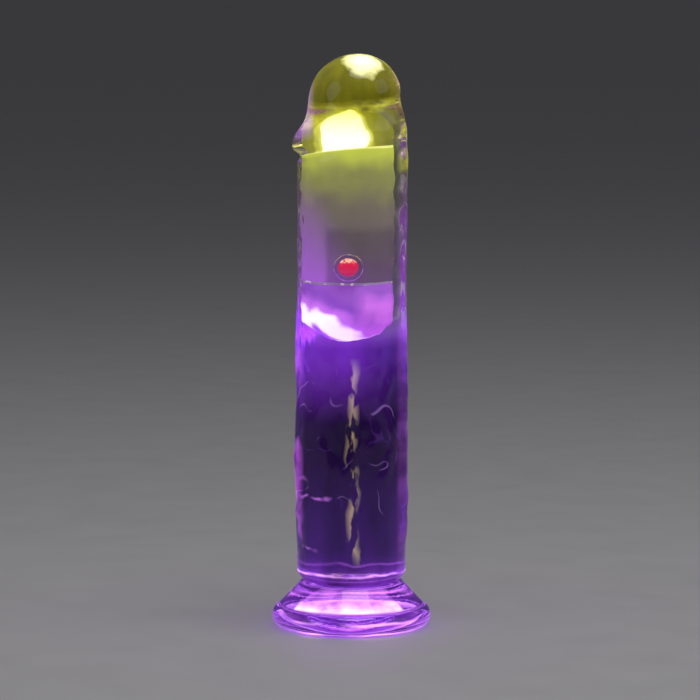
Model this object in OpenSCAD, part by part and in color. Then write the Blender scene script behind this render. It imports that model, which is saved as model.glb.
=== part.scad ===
// Illuminated clear elastomer novelty on a suction foot.
// A clear cast body holds a sealed, battery-powered capsule with a light at each
// end and one press button that faces the front. The origin is on the standing
// surface, under the middle of the foot. +Z is up and -Y is the front.

/* [Body] */
// Height from the standing surface to the crown
overall_h = 205; // [170:1:250]
// Diameter of the straight part of the body
body_d = 39; // [32:0.5:48]
// How far the lower part of the body swells out, on the radius
swell = 0.7; // [0:0.1:1.5]
// Height of the middle of that swelling
swell_z = 55; // [40:1:70]
// Radius of the rounded edge at the bottom of the body
foot_round = 4.5; // [2:0.5:6]

/* [Crown] */
// Depth of the collar's middle below the crown
crown_h = 28; // [24:1:34]
// How far the rounded top of the crown reaches down
dome_h = 15; // [12:0.5:18]
// Lean of the crown towards +X, in degrees
crown_lean = 4.5; // [0:0.5:8]
// Slant of the collar, up towards +X, in degrees
collar_slant = 11; // [0:1:15]
// Thickness of the rounded collar
collar_t = 10; // [7:0.5:12]

/* [Suction foot] */
// Diameter over the rolled rim
foot_d = 57; // [50:1:75]
// Height from the standing surface to the underside of the body
foot_h = 16.5; // [14:0.5:22]
// How far the neck is set in from the side of the body
neck_in = 1.5; // [1:0.5:6]
// Thickness of the rolled rim
rim_t = 8.4; // [6:0.2:9]
// Width of the flat ring that the foot stands on
ring_w = 3; // [2:0.5:4]
// Depth of the hollow under the foot
dish_h = 3.5; // [2:0.25:3.75]
// Diameter of the plug that joins the foot to the body
plug_d = 24; // [18:1:28]
// Height of that plug
plug_h = 6; // [4:0.5:9]

/* [Capsule] */
// Outer diameter of the sealed capsule
capsule_d = 23; // [22:0.5:28]
// Thickness of the tube's wall
wall = 1.2; // [1:0.1:1.4]
// Length of the frosted tube
tube_h = 47; // [38:0.5:60]
// Length of the straight part of the upper lens
upper_lens_h = 5; // [4:0.5:9]
// Length of the straight part of the lower lens
lower_lens_h = 13.7; // [9:0.1:17]
// Height of the rounded end of each lens
lens_dome_h = 7; // [5:0.5:9]
// Depth of the capsule's top below the crown
capsule_depth = 20.5; // [20:0.5:30]
// How far the capsule lies off the body's axis, towards -X
capsule_shift = 1; // [0:0.25:1.5]

/* [Button] */
// Diameter of the red button
button_d = 6.4; // [5:0.1:8]
// Gap between the button's flange and the lower lens's socket
flange_gap = 0.3; // [0.3:0.1:3]
// How far the button stands out of the tube
button_proud = 2.4; // [2:0.1:2.6]
// Travel of the button
button_travel = 0.8; // [0.4:0.1:0.8]
// Gap round the button and its plunger, on the radius
button_gap = 0.08; // [0.05:0.01:0.1]
// Wall of the clear collar round the button
collar_wall = 1.5; // [1:0.1:1.6]

/* [Electronics] */
// Diameter of one button cell
cell_d = 11.6; // [9.5:0.1:11.6]
// Height of one button cell
cell_h = 5.4; // [3.6:0.1:5.4]
// Width of the main board
board_w = 13; // [12:0.1:16]
// Thickness of every circuit board
board_t = 1; // [0.8:0.1:1.2]
// Width of the push switch
switch_w = 4.5; // [4:0.1:4.5]

/* [Hidden] */
$fn = 64;

// Body and crown
body_r = body_d / 2;
collar_z = overall_h - crown_h;
swell_len = 26;
outline_step = 8;
shaft_top = collar_z + body_r * tan(collar_slant) + 1;
crown_top_r = body_r * 0.83;
crown_base_r = body_r * 0.95;
crown_root = 2;
collar_reach = 1;
collar_shift = 0.6;
cut = 4 * body_r;

// Suction foot
rim_r = rim_t / 2;
rim_mid = foot_d / 2 - rim_r;
dish_r = rim_mid - ring_w;
neck_r = body_r - neck_in;
rim_join = 25;

// Capsule, measured along its own axis from the bottom of the tube
capsule_r = capsule_d / 2;
bore_r = capsule_r - wall;
fit = 0.05;
bed = 0.02;
seal_t = 0.8;
socket_h = 1.6;
socket_wall = 1.6;
socket_r = bore_r - fit;
socket_in = socket_r - socket_wall;
lens_r = (capsule_r * capsule_r + lens_dome_h * lens_dome_h) / (2 * lens_dome_h);
lens_wall = 1.2;
tube_z = overall_h - capsule_depth - lens_dome_h - upper_lens_h - seal_t - tube_h;

// Button, measured from the capsule's axis
hole_r = button_d / 2 + button_gap;
flange_r = button_d / 2 + 0.5;
flange_t = 0.5;
button_z = socket_h + flange_gap + flange_r;
flange_front = -sqrt(bore_r * bore_r - flange_r * flange_r) + 0.1;
flange_back = flange_front + flange_t;
cap_front = -capsule_r - button_proud;
cap_bow = 0.5;
collar_r = hole_r + collar_wall;
collar_front = -capsule_r - button_proud * 0.6;
hollow_front = cap_front - 0.3;

// Switch and plunger
switch_t = 3.2;
switch_front = flange_back + button_travel + 0.3;
plunger_r = 1.5;
well_r = plunger_r + button_gap;
well_depth = 2.6;
plunger_in = 1.1;
well_floor = switch_front + well_depth;
plunger_tail = switch_front + plunger_in;

// Chassis: a plate at each end, joined by two rails behind the main board
plate_t = 1.2;
plate_r = bore_r - 0.1;
board_low = socket_h + plate_t;
board_high = tube_h - board_low;
board_front = switch_front + switch_t;
board_back = board_front + board_t;
rail_w = 2.4;
rail_x = (board_w - rail_w) / 2;
lead_r = 0.38;
lead_gap = 0.1;
lead_x = board_w / 2 - rail_w - lead_r - lead_gap;
lead_y = board_back + lead_r;
lead_h = 6;

// Battery
holder_wall = 0.8;
holder_floor = 1;
cell_r = cell_d / 2;
pocket_r = cell_r + 0.1;
holder_r = pocket_r + holder_wall;
cell_y = board_back + holder_r + 0.2;
contact_t = 0.4;
contact_r = 4;
tab_w = 2.5;
spring_h = 2;
stack_low = board_low + holder_floor + contact_t + spring_h;
stack_high = stack_low + 3 * cell_h;
holder_top = stack_high + contact_t + holder_floor;
rail_inner = board_w / 2 - rail_w;
rail_d = cell_y - sqrt(holder_r * holder_r - rail_inner * rail_inner) - board_back - 0.1;

// Parts on the main board, measured from its lower end and its middle
chip_z = board_low + 20;
column_x = 4.4;
column_z = board_low + 9;
transistor_x = 2.2;
transistor_z = board_low + 26.5;

// Screws and lights
screw_r = 0.6;
screw_head_r = 1.1;
screw_head_t = 0.7;
screw_rows = [board_low + 2.2, board_high - 2.2];
led_w = 3.5;
led_d = 2.9;
led_t = 1.4;
led_ring = 3.4;
led_turn = 30;
led_count = 3;
reflector_h = 4;
reflector_wall = 0.8;
reflector_throat = socket_in - 2;
reflector_mouth = socket_in - 0.2;
over = 0.01;

// Radius of the body's outline at height z
function body_radius(z) = body_r + swell * exp(-pow((z - swell_z) / swell_len, 2));

// ---- Shared shapes ----

// Children placed on the capsule's axis, with z = 0 at the bottom of the tube
module on_capsule() {
    translate([-capsule_shift, 0, tube_z]) children();
}

// Children placed at one end of the tube, with +Z pointing out of it
module at_upper_end() {
    on_capsule() translate([0, 0, tube_h]) children();
}

module at_lower_end() {
    on_capsule() mirror([0, 0, 1]) children();
}

// A cylinder that lies along Y between two distances, at the button's height
module across(r, from_y, to_y) {
    translate([0, from_y, button_z]) rotate([-90, 0, 0]) cylinder(h = to_y - from_y, r = r);
}

// A box on the front of the main board, with its width, height and thickness
module on_board(x, z, size) {
    translate([x - size[0] / 2, board_front - size[2], z - size[1] / 2])
        cube([size[0], size[2], size[1]]);
}

// Children placed at each of the two wires to a light, at height z
module lead_places(z) {
    for (side = [-1, 1]) translate([side * lead_x, lead_y, z]) children();
}

module ring(outer, inner, h) {
    difference() {
        cylinder(h = h, r = outer);
        translate([0, 0, -1]) cylinder(h = h + 2, r = inner);
    }
}

// A coil of round wire that stands on z = 0, with its radius going from r0 to r1
module coil(r0, r1, h, wire, turns) {
    sides = 8;
    steps = turns * 16;
    rise = h - 2 * wire;
    points = [for (i = [0 : steps]) for (j = [0 : sides - 1])
        let (a = 360 * turns * i / steps, b = 360 * j / sides,
             r = r0 + (r1 - r0) * i / steps + wire * cos(b))
        [r * cos(a), r * sin(a), wire + rise * i / steps + wire * sin(b)]];
    skin = [for (i = [0 : steps - 1]) for (j = [0 : sides - 1])
        let (k = i * sides + j, n = i * sides + (j + 1) % sides)
        [k, k + sides, n + sides, n]];
    ends = [[for (j = [0 : sides - 1]) j],
        [for (j = [sides - 1 : -1 : 0]) steps * sides + j]];
    polyhedron(points, concat(skin, ends));
}

// ---- Body and foot ----

// Straight part of the body, with its rounded bottom edge and slight swelling
module shaft_outline() {
    straight = foot_h + foot_round;
    edge_r = body_radius(straight);
    edge = [for (a = [0 : 15 : 75])
        [edge_r - foot_round * (1 - sin(a)), straight - foot_round * cos(a)]];
    side = [for (z = [straight : outline_step : shaft_top - 1]) [body_radius(z), z]];
    top = [[body_radius(shaft_top), shaft_top], [0, shaft_top]];
    polygon(concat([[0, foot_h]], edge, side, top));
}

// Crown above the collar's middle: a rounded top on a slightly flared side
module crown_outline() {
    side_h = crown_h - dome_h;
    top = [for (a = [0 : 10 : 90]) [crown_top_r * cos(a), side_h + dome_h * sin(a)]];
    polygon(concat([[0, -crown_root], [crown_base_r, -crown_root]], top));
}

module body_form() {
    difference() {
        rotate_extrude() shaft_outline();
        translate([0, 0, collar_z]) rotate([0, -collar_slant, 0])
            translate([-cut / 2, -cut / 2, 0]) cube(cut);
    }
    translate([0, 0, collar_z]) rotate([0, crown_lean, 0])
        rotate_extrude() crown_outline();
    translate([-collar_shift, 0, collar_z]) rotate([0, -collar_slant, 0])
        rotate_extrude() translate([body_r + collar_reach - collar_t / 2, 0]) circle(d = collar_t);
}

// The room that the capsule and its button take up
module capsule_room() {
    cylinder(h = tube_h, r = capsule_r + bed);
    translate([0, 0, tube_h]) lens_form(bed, upper_lens_h + seal_t);
    mirror([0, 0, 1]) lens_form(bed, lower_lens_h + seal_t);
    across(collar_r + bed, hollow_front, 0);
}

module plug(gap) {
    translate([0, 0, foot_h - 1]) cylinder(h = plug_h + 1 + gap, r = plug_d / 2 + gap);
}

module clear_body() {
    color([0.86, 0.84, 0.92, 0.35]) difference() {
        body_form();
        on_capsule() capsule_room();
        plug(bed);
    }
}

// The foot's straight flared side, from the neck down to where it joins the rolled rim
module foot_outline() {
    joined = [rim_mid + rim_r * sin(rim_join), rim_r + rim_r * cos(rim_join)];
    polygon([[0, 0], [rim_mid, 0], joined, [neck_r, foot_h], [0, foot_h]]);
    translate([rim_mid, rim_r]) circle(r = rim_r);
}

module suction_foot() {
    dish_sphere_r = (dish_r * dish_r + dish_h * dish_h) / (2 * dish_h);
    color([0.82, 0.72, 0.95, 0.4]) difference() {
        union() {
            rotate_extrude() foot_outline();
            plug(0);
        }
        translate([0, 0, dish_h - dish_sphere_r]) sphere(r = dish_sphere_r);
    }
}

// ---- Capsule shell ----

// A lens's outside from z = 0 up: a straight part with a rounded end
module lens_form(gap, straight) {
    cylinder(h = straight, r = capsule_r + gap);
    intersection() {
        translate([0, 0, straight - gap]) cylinder(h = lens_dome_h + 2 * gap, r = capsule_r + gap);
        translate([0, 0, straight + lens_dome_h - lens_r]) sphere(r = lens_r + gap);
    }
}

module lens(straight) {
    difference() {
        union() {
            translate([0, 0, seal_t]) lens_form(0, straight);
            translate([0, 0, -socket_h]) cylinder(h = socket_h + seal_t, r = socket_r);
        }
        translate([0, 0, -socket_h - 1]) cylinder(h = socket_h + straight, r = socket_in);
        intersection() {
            cylinder(h = straight + lens_dome_h, r = socket_in);
            translate([0, 0, seal_t + straight + lens_dome_h - lens_r]) sphere(r = lens_r - lens_wall);
        }
    }
}

module capsule_tube() {
    color([0.66, 0.62, 0.66, 0.8]) on_capsule() difference() {
        ring(capsule_r, bore_r, tube_h);
        across(hole_r, -capsule_r - 1, 0);
    }
}

module upper_lens() {
    color([0.95, 0.95, 0.6, 0.5]) at_upper_end() lens(upper_lens_h);
}

module lower_lens() {
    color([0.85, 0.6, 0.98, 0.5]) at_lower_end() lens(lower_lens_h);
}

module upper_seal() {
    color([0.75, 0.75, 0.72]) at_upper_end() ring(capsule_r, bore_r, seal_t);
}

module lower_seal() {
    color([0.75, 0.72, 0.78]) at_lower_end() ring(capsule_r, bore_r, seal_t);
}

// ---- Button and switch ----

module button_collar() {
    color([0.9, 0.85, 0.9, 0.5]) on_capsule() difference() {
        across(collar_r, collar_front, 0);
        across(hole_r, collar_front - 1, 1);
        cylinder(h = tube_h, r = capsule_r);
    }
}

module power_button() {
    bow_r = (button_d * button_d / 4 + cap_bow * cap_bow) / (2 * cap_bow);
    color([0.85, 0.06, 0.12]) on_capsule() {
        intersection() {
            across(button_d / 2, cap_front, flange_back);
            translate([0, cap_front + bow_r, button_z]) sphere(r = bow_r);
        }
        across(flange_r, flange_front, flange_back);
    }
}

module button_plunger() {
    color([0.9, 0.88, 0.84]) on_capsule() across(plunger_r, flange_back, plunger_tail);
}

module button_spring() {
    wire = 0.1;
    coil_r = plunger_r - 2 * wire;
    color([0.78, 0.78, 0.8]) on_capsule() translate([0, well_floor, button_z]) rotate([90, 0, 0])
        coil(r0 = coil_r, r1 = coil_r, h = well_floor - plunger_tail, wire = wire, turns = 3);
}

module switch_body() {
    color([0.12, 0.12, 0.13]) on_capsule() difference() {
        on_board(0, button_z, [switch_w, switch_w, switch_t]);
        across(well_r, switch_front - 1, well_floor);
    }
}

// ---- Chassis and main board ----

module chassis_plate() {
    difference() {
        cylinder(h = plate_t, r = plate_r);
        translate([-plate_r, -2 * plate_r, -1])
            cube([2 * plate_r, 2 * plate_r + switch_front, plate_t + 2]);
        lead_places(-1) cylinder(h = plate_t + 2, r = lead_r + lead_gap);
    }
}

module chassis() {
    color([0.86, 0.86, 0.84]) on_capsule() difference() {
        union() {
            translate([0, 0, socket_h]) chassis_plate();
            translate([0, 0, board_high]) chassis_plate();
            for (side = [-1, 1]) translate([side * rail_x - rail_w / 2, board_back, board_low])
                cube([rail_w, rail_d, board_high - board_low]);
        }
        screw_places() rotate([-90, 0, 0]) cylinder(h = board_t + rail_d + 1, r = screw_r);
    }
}

// Children placed where each screw meets the front of the board
module screw_places() {
    for (side = [-1, 1], z = screw_rows) translate([side * rail_x, board_front, z]) children();
}

module main_board() {
    color([0.1, 0.35, 0.2]) on_capsule() difference() {
        translate([-board_w / 2, board_front, board_low]) cube([board_w, board_t, board_high - board_low]);
        screw_places() translate([0, -1, 0]) rotate([-90, 0, 0])
            cylinder(h = board_t + 2, r = screw_r + fit);
    }
}

module board_screws() {
    color([0.75, 0.75, 0.78]) on_capsule() screw_places() {
        rotate([-90, 0, 0]) cylinder(h = board_t + rail_d, r = screw_r);
        translate([0, -screw_head_t, 0]) rotate([-90, 0, 0]) cylinder(h = screw_head_t, r = screw_head_r);
    }
}

module control_chip() {
    chip = [3.9, 4.9, 1.4];
    leg = [1.2, 0.4, 0.5];
    leg_x = 2.4;
    leg_pitch = 1.27;
    color([0.08, 0.08, 0.09]) on_capsule() {
        on_board(0, chip_z, chip);
        for (side = [-1, 1], k = [-1.5 : 1 : 1.5])
            on_board(side * leg_x, chip_z + k * leg_pitch, leg);
    }
}

module resistors() {
    resistor = [2, 1.25, 0.5];
    pitch = 2.6;
    color([0.15, 0.14, 0.13]) on_capsule() for (k = [0 : 4])
        on_board(-column_x, column_z + pitch * k, resistor);
}

module capacitors() {
    capacitor = [2, 1.6, 0.9];
    pitch = 3.4;
    color([0.72, 0.6, 0.42]) on_capsule() for (k = [0 : 2])
        on_board(column_x, column_z + pitch * k, capacitor);
}

module transistors() {
    package = [2.9, 1.3, 1];
    leg = [0.4, 0.6, 0.3];
    leg_x = 0.95;
    leg_z = 0.9;
    color([0.1, 0.1, 0.1]) on_capsule() for (x = [-transistor_x, transistor_x]) {
        on_board(x, transistor_z, package);
        for (side = [-1, 1]) on_board(x + side * leg_x, transistor_z - leg_z, leg);
        on_board(x, transistor_z + leg_z, leg);
    }
}

module indicator_led() {
    package = [2, 1.25, 0.8];
    above_switch = 0.9;
    color([0.95, 0.2, 0.2]) on_capsule()
        on_board(0, button_z + switch_w / 2 + above_switch, package);
}

// ---- Battery ----

module battery_holder() {
    color([0.2, 0.2, 0.22]) on_capsule() difference() {
        intersection() {
            translate([0, cell_y, board_low]) cylinder(h = holder_top - board_low, r = holder_r);
            cylinder(h = tube_h, r = plate_r);
        }
        translate([0, cell_y, board_low + holder_floor]) {
            cylinder(h = holder_top - board_low - 2 * holder_floor, r = pocket_r);
            translate([-pocket_r, 0, 0])
                cube([2 * pocket_r, 2 * holder_r, holder_top - board_low - 2 * holder_floor]);
        }
        for (z = [stack_low - spring_h - contact_t, stack_high])
            translate([-tab_w / 2 - fit, board_back - 1, z]) cube([tab_w + 2 * fit, holder_r, contact_t]);
    }
}

// A sealed cell with its narrower negative cap downwards
module button_cell(k) {
    step_h = 0.5;
    color([0.78, 0.78, 0.76]) on_capsule() translate([0, cell_y, stack_low + k * cell_h]) {
        cylinder(h = step_h, r = cell_r - 1);
        translate([0, 0, step_h]) cylinder(h = cell_h - step_h, r = cell_r);
    }
}

module lower_cell() { button_cell(0); }

module middle_cell() { button_cell(1); }

module upper_cell() { button_cell(2); }

// A round contact with a tab that reaches the back of the main board
module contact_plate(z) {
    color([0.85, 0.75, 0.45]) on_capsule() {
        translate([0, cell_y, z]) cylinder(h = contact_t, r = contact_r);
        translate([-tab_w / 2, board_back, z]) cube([tab_w, cell_y - board_back, contact_t]);
    }
}

module positive_contact() { contact_plate(stack_high); }

module negative_contact() { contact_plate(stack_low - spring_h - contact_t); }

module negative_spring() {
    color([0.8, 0.8, 0.82]) on_capsule() translate([0, cell_y, stack_low - spring_h])
        coil(r0 = 3.4, r1 = 2, h = spring_h, wire = 0.2, turns = 3);
}

// ---- Lights ----

// A cup that opens outwards round the lights
module reflector() {
    translate([0, 0, board_t - socket_h]) difference() {
        cylinder(h = reflector_h, r1 = reflector_throat, r2 = reflector_mouth);
        translate([0, 0, -over])
            cylinder(h = reflector_h + 2 * over, r1 = reflector_throat - reflector_wall,
                r2 = reflector_mouth - reflector_wall);
    }
}

module led_board() {
    translate([0, 0, -socket_h]) difference() {
        cylinder(h = board_t, r = socket_in - fit);
        lead_places(-1) cylinder(h = board_t + 2, r = lead_r);
    }
}

module leds() {
    for (k = [0 : led_count - 1]) rotate([0, 0, led_turn + 360 * k / led_count])
        translate([led_ring - led_w / 2, -led_w / 2, board_t - socket_h])
            cube([led_d, led_w, led_t]);
}

// Two wires from a light board, through the chassis plate, to the main board's back
module leads() {
    lead_places(-socket_h - lead_h) {
        cylinder(h = lead_h + board_t, r = lead_r);
        sphere(r = lead_r);
    }
}

module upper_reflector() { color([0.92, 0.92, 0.93]) at_upper_end() reflector(); }

module lower_reflector() { color([0.92, 0.92, 0.93]) at_lower_end() reflector(); }

module upper_led_board() { color([0.9, 0.92, 0.9]) at_upper_end() led_board(); }

module lower_led_board() { color([0.9, 0.92, 0.9]) at_lower_end() led_board(); }

module upper_leds() { color([1, 0.95, 0.55]) at_upper_end() leds(); }

module lower_leds() { color([0.85, 0.5, 1]) at_lower_end() leds(); }

module upper_leads() { color([0.8, 0.1, 0.1]) at_upper_end() leads(); }

module lower_leads() { color([0.1, 0.1, 0.8]) at_lower_end() leads(); }

clear_body();
suction_foot();
capsule_tube();
upper_lens();
lower_lens();
upper_seal();
lower_seal();
button_collar();
power_button();
button_plunger();
button_spring();
switch_body();
chassis();
main_board();
control_chip();
resistors();
capacitors();
transistors();
indicator_led();
board_screws();
battery_holder();
lower_cell();
middle_cell();
upper_cell();
positive_contact();
negative_contact();
negative_spring();
upper_reflector();
upper_led_board();
upper_leds();
upper_leads();
lower_reflector();
lower_led_board();
lower_leds();
lower_leads();
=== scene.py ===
# Illuminated clear elastomer novelty on a suction foot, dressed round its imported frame.
# The sections follow the piece as it is put together: the light capsule from the inside
# out, the clear body cast round it, and the foot. All lengths are in metres.
import math

import bmesh
import bpy
from mathutils import Matrix, Vector, noise


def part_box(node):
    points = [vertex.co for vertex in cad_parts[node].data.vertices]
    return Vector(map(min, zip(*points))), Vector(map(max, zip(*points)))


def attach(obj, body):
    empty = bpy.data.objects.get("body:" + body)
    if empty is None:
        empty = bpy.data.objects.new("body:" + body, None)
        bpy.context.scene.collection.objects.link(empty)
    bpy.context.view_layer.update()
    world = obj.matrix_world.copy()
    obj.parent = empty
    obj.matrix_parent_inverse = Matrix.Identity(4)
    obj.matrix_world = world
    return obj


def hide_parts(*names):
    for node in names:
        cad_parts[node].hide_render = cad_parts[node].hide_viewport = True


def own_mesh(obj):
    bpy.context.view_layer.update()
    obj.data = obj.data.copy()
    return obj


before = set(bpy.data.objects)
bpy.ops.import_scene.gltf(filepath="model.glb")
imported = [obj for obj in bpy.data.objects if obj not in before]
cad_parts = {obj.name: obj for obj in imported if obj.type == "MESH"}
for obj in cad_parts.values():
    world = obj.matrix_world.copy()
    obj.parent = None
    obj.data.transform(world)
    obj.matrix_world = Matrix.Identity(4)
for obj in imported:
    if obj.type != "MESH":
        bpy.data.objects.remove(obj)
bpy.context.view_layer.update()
scene = bpy.context.scene


# ---- Camera, floor and lamps ----
# A long lens looks at the front, a little from above. The piece stands on a pale floor
# in a dim room with one wide soft lamp above and a fainter, wider one on each side, so that
# its own lights still show.
LOOK_AT = Vector((-0.0005, 0, 0.0995))
CAMERA_DISTANCE = 1.3
CAMERA_RISE = math.radians(6.5)
VIEW_HEIGHT = 0.2496
SENSOR = 36.0
FLOOR_HALF = 20.0


def socket_values(node, values):
    for socket, value in values.items():
        node.inputs[socket].default_value = value


def new_material(name, colour, roughness, **values):
    """A Principled material, with its node tree and its shader. Underscores stand for spaces."""
    made = bpy.data.materials.new(name)
    made.use_nodes = True
    tree = made.node_tree
    shader = tree.nodes["Principled BSDF"]
    socket_values(shader, {"Base Color": (*colour, 1), "Roughness": roughness})
    socket_values(shader, {key.replace("_", " "): value for key, value in values.items()})
    return made, tree, shader


def add_node(tree, kind, values=None, **settings):
    node = tree.nodes.new(kind)
    for key, value in settings.items():
        setattr(node, key, value)
    socket_values(node, values or {})
    return node


def object_point(tree):
    return add_node(tree, "ShaderNodeTexCoord").outputs["Object"]


def noise_value(tree, scale, detail=3.0, stretch=(1, 1, 1)):
    """Noise on Object coordinates, with features about 1/scale metres wide."""
    place = add_node(tree, "ShaderNodeMapping", {"Scale": stretch})
    made = add_node(tree, "ShaderNodeTexNoise", {"Scale": scale, "Detail": detail})
    tree.links.new(object_point(tree), place.inputs["Vector"])
    tree.links.new(place.outputs["Vector"], made.inputs["Vector"])
    return made.outputs["Fac"]


def ramp(tree, value, stops):
    """A smooth colour ramp over value, from (place, colour) stops."""
    made = add_node(tree, "ShaderNodeValToRGB")
    band = made.color_ramp
    band.interpolation = "EASE"
    while len(band.elements) < len(stops):
        band.elements.new(1.0)
    for element, (place, colour) in zip(band.elements, stops):
        element.position = place
        element.color = (*colour, 1)
    tree.links.new(value, made.inputs["Fac"])
    return made.outputs["Color"]


def rescale(tree, value, low, high, to_low=0.0, to_high=1.0):
    made = add_node(tree, "ShaderNodeMapRange", {"From Min": low, "From Max": high,
                                                 "To Min": to_low, "To Max": to_high})
    tree.links.new(value, made.inputs["Value"])
    return made.outputs["Result"]


def roughen(tree, shader, scale, low, high):
    tree.links.new(rescale(tree, noise_value(tree, scale), 0.3, 0.7, low, high),
                   shader.inputs["Roughness"])


def bump(tree, shader, value, distance, strength=1.0):
    made = add_node(tree, "ShaderNodeBump", {"Distance": distance, "Strength": strength})
    tree.links.new(value, made.inputs["Height"])
    tree.links.new(made.outputs["Normal"], shader.inputs["Normal"])


def studio_lamp(name, place, size, power, colour=(1, 1, 1)):
    data = bpy.data.lights.new(name, "AREA")
    data.shape = "DISK"
    data.size = size
    data.energy = power
    data.color = colour
    lamp = bpy.data.objects.new(name, data)
    lamp.location = place
    lamp.rotation_euler = (LOOK_AT - Vector(place)).to_track_quat("-Z", "Y").to_euler()
    scene.collection.objects.link(lamp)


camera_data = bpy.data.cameras.new("camera")
camera_data.sensor_width = SENSOR
camera_data.lens = SENSOR * CAMERA_DISTANCE / VIEW_HEIGHT
camera_data.clip_end = 20
camera = bpy.data.objects.new("camera", camera_data)
camera.location = LOOK_AT + CAMERA_DISTANCE * Vector((0, -math.cos(CAMERA_RISE), math.sin(CAMERA_RISE)))
camera.rotation_euler = (LOOK_AT - camera.location).to_track_quat("-Z", "Y").to_euler()
scene.collection.objects.link(camera)
scene.camera = camera

mesh = bmesh.new()
bmesh.ops.create_grid(mesh, x_segments=1, y_segments=1, size=FLOOR_HALF)
floor_mesh = bpy.data.meshes.new("floor")
mesh.to_mesh(floor_mesh)
mesh.free()
floor = bpy.data.objects.new("floor", floor_mesh)
scene.collection.objects.link(floor)
floor_paint, floor_tree, floor_shader = new_material("floor_paper", (0.62, 0.61, 0.62), 0.6)
roughen(floor_tree, floor_shader, 40, 0.5, 0.7)
floor_mesh.materials.append(floor_paint)

world = bpy.data.worlds.new("room")
world.use_nodes = True
socket_values(world.node_tree.nodes["Background"], {"Color": (0.20, 0.20, 0.215, 1), "Strength": 0.3})
scene.world = world
scene.view_settings.view_transform = "Standard"
studio_lamp("top_lamp", (0.1, -0.25, 1.1), 0.7, 4.0)
studio_lamp("left_lamp", (-1.1, -0.6, 0.7), 0.9, 1.6)
studio_lamp("right_lamp", (1.1, -0.3, 0.6), 0.9, 1.4)


# ---- Circuit boards ----
# One glass-epoxy board holds the driver parts, and a round white one at each end of the
# capsule carries three lights. Copper tracks show as paler lines under the solder mask.
BOARD_GREEN = (0.02, 0.12, 0.05)
TRACK_GREEN = (0.05, 0.24, 0.10)


def dress(paint, *names):
    """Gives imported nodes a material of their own."""
    for name in names:
        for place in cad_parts[name].material_slots:
            place.material = paint


def two_tone(tree, shader, value, low, high):
    tree.links.new(ramp(tree, value, [(0.35, low), (0.65, high)]), shader.inputs["Base Color"])


board_paint, tree, shader = new_material("solder_mask_green", BOARD_GREEN, 0.35, Coat_Weight=0.4)
tracks = add_node(tree, "ShaderNodeTexBrick", {"Scale": 420.0, "Mortar Size": 0.03,
                                               "Color1": (*BOARD_GREEN, 1), "Color2": (*BOARD_GREEN, 1),
                                               "Mortar": (*TRACK_GREEN, 1)})
turn = add_node(tree, "ShaderNodeMapping", {"Rotation": (math.radians(90), 0, 0)})
tree.links.new(object_point(tree), turn.inputs["Vector"])
tree.links.new(turn.outputs["Vector"], tracks.inputs["Vector"])
tree.links.new(tracks.outputs["Color"], shader.inputs["Base Color"])
bump(tree, shader, tracks.outputs["Fac"], 0.00004)
dress(board_paint, "main_board")

light_board_paint, tree, shader = new_material("solder_mask_white", (0.8, 0.82, 0.8), 0.4)
two_tone(tree, shader, noise_value(tree, 900), (0.74, 0.76, 0.74), (0.86, 0.87, 0.85))
dress(light_board_paint, "upper_led_board", "lower_led_board")


# ---- Parts soldered to the main board ----
# A moulded control chip and two transistors in black epoxy, ceramic chip resistors and
# capacitors, and a push switch in black nylon. Moulded epoxy is matt and finely grained.
def grained(name, colour, roughness, grain, depth, lift=1.35, **values):
    """A moulded finish: a fine grain in colour, gloss and height."""
    made, tree, shader = new_material(name, colour, roughness, **values)
    value = noise_value(tree, grain)
    two_tone(tree, shader, value, colour, tuple(min(1, channel * lift) for channel in colour))
    roughen(tree, shader, grain, roughness * 0.85, min(1, roughness * 1.2))
    bump(tree, shader, value, depth)
    return made


dress(grained("black_epoxy", (0.018, 0.018, 0.02), 0.6, 2600, 0.00002), "control_chip", "transistors")
dress(grained("resistor_glaze", (0.02, 0.018, 0.017), 0.3, 1800, 0.00001), "resistors")
dress(grained("capacitor_ceramic", (0.42, 0.27, 0.13), 0.5, 2200, 0.00001), "capacitors")
dress(grained("black_nylon", (0.03, 0.03, 0.033), 0.45, 2000, 0.00002), "switch_body")


# ---- Chassis, battery holder, screws and wires ----
# The chassis and plunger are white styrene and the cell holder is black. The leads are
# thin PVC-covered wire, and the four screws are zinc-plated steel with turned heads.
white_styrene = grained("white_styrene", (0.62, 0.61, 0.57), 0.42, 1500, 0.00002, lift=1.12)
dress(white_styrene, "chassis", "button_plunger")
dress(grained("black_styrene", (0.035, 0.035, 0.04), 0.5, 1500, 0.00002), "battery_holder")
dress(grained("red_wire_cover", (0.5, 0.02, 0.015), 0.35, 1200, 0.00001), "upper_leads")
dress(grained("blue_wire_cover", (0.015, 0.03, 0.42), 0.35, 1200, 0.00001), "lower_leads")


def brushed(name, colour, roughness, scale, stretch):
    """Metal with fine lines drawn out along one axis."""
    made, tree, shader = new_material(name, colour, roughness, Metallic=1.0)
    lines = noise_value(tree, scale, 4.0, stretch)
    two_tone(tree, shader, lines, tuple(channel * 0.8 for channel in colour), colour)
    tree.links.new(rescale(tree, lines, 0.3, 0.7, roughness * 0.8, roughness * 1.5),
                   shader.inputs["Roughness"])
    bump(tree, shader, lines, 0.00001)
    return made


dress(brushed("zinc_plate", (0.62, 0.62, 0.66), 0.3, 900, (1, 1, 6)), "board_screws")


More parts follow.
